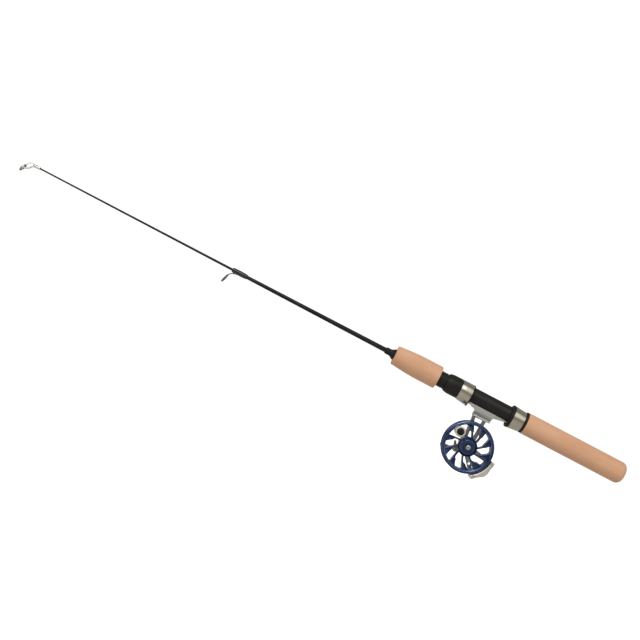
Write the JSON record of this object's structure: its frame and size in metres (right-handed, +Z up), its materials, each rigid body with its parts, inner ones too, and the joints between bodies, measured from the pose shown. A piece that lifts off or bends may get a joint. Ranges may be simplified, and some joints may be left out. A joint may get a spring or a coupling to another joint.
{
  "type": "ice fishing rod",
  "caption": "Telescopic ice fishing rod with foam grips, a plate reel seat and a small open hand reel with a swirl-spoked blue spool.",
  "frame": {"origin": "centre of the flat butt end of the rear grip, on the rod's axis", "axes": "+X along the rod out of the butt (the tip is toward -X), +Z up with the reel hanging toward -Z, +Y across the rod, away from the crank knob"},
  "size_m": [0.6445, 0.0375, 0.0816],
  "materials": {
    "grip_foam": "matte closed-cell foam, cork colour",
    "butt_rubber": "matte",
    "arbor_foam": "matte foam tape",
    "blank_black": "gloss black lacquer on hollow glass-fibre",
    "thread_wrap": "thread whipping under clear epoxy",
    "guide_steel": "dark plated wire",
    "tip_steel": "bright plated wire",
    "guide_ceramic": null,
    "trim_black": "satin",
    "seat_black": "satin moulded",
    "hood_nickel": "satin nickel",
    "cast_alloy": "as-cast satin",
    "guide_alloy": "satin",
    "knob_alloy": "satin turned",
    "spool_blue": "blue anodised, machined",
    "screw_steel": "polished",
    "brass": "machined"
  },
  "bodies": {
    "rod": {"main_blank": "blank_black", "mid_collar": "thread_wrap", "mid_guide_frame": "guide_steel", "mid_guide_insert": "guide_ceramic", "rear_grip": "grip_foam", "butt_plug": "butt_rubber", "foregrip": "grip_foam", "winding_check": "trim_black", "grip_ring": "trim_black", "seat_body": "seat_black", "rear_hood_sleeve": "hood_nickel", "arbor_front": "arbor_foam", "arbor_rear": "arbor_foam", "reel_foot": "cast_alloy", "reel_frame": "cast_alloy", "frame_screw_front": "screw_steel", "frame_screw_rear": "screw_steel", "line_guide": "guide_alloy", "guide_screw_upper": "screw_steel", "guide_screw_lower": "screw_steel", "line_guide_eyelet": "screw_steel", "spindle": "screw_steel", "spindle_nut": "screw_steel", "bearing_spacer": "brass", "spool_screw": "screw_steel", "spool_washer": "spool_blue", "click_pivot_screw": "screw_steel"},
    "tip": {"tip_section": "blank_black", "tip_top_frame": "tip_steel", "tip_guide_insert": "guide_ceramic"},
    "front_hood": {"front_hood_sleeve": "hood_nickel", "front_hood_liner": "seat_black"},
    "lock_nut": {"lock_nut": "seat_black"},
    "spool": {"spool": "spool_blue", "counterweight": "brass", "click_gear": "screw_steel", "bearing_front": "screw_steel", "bearing_rear": "screw_steel", "knob_post": "screw_steel"},
    "knob": {"knob_body": "knob_alloy", "knob_cap": "trim_black"},
    "click_lever": {"click_lever": "cast_alloy", "click_pin": "screw_steel"}
  },
  "joints": [
    {"name": "tip_telescope", "type": "slide", "parent": "rod", "child": "tip", "axis": [1, 0, 0], "range_m": [0, 0.2]},
    {"name": "hood_slide", "type": "slide", "parent": "rod", "child": "front_hood", "axis": [-1, 0, 0], "range_m": [0, 0.0082]},
    {"name": "nut_turn", "type": "hinge", "parent": "front_hood", "child": "lock_nut", "pos_m": [-0.1759, 0, 0], "axis": [-1, 0, 0], "range_deg": [0, 1284]},
    {"name": "spool_spin", "type": "hinge", "parent": "rod", "child": "spool", "pos_m": [-0.144, 0, -0.0454], "axis": [0, 1, 0], "continuous": true},
    {"name": "knob_spin", "type": "hinge", "parent": "spool", "child": "knob", "pos_m": [-0.15968, 0, -0.03502], "axis": [0, 1, 0], "continuous": true},
    {"name": "click_pivot", "type": "hinge", "parent": "rod", "child": "click_lever", "pos_m": [-0.15192, 0, -0.05332], "axis": [0, 1, 0], "range_deg": [0, 20]}
  ],
  "couplings": [
    {"joint": "nut_turn", "follows": "hood_slide", "rad_per_m": 2731.8}
  ]
}
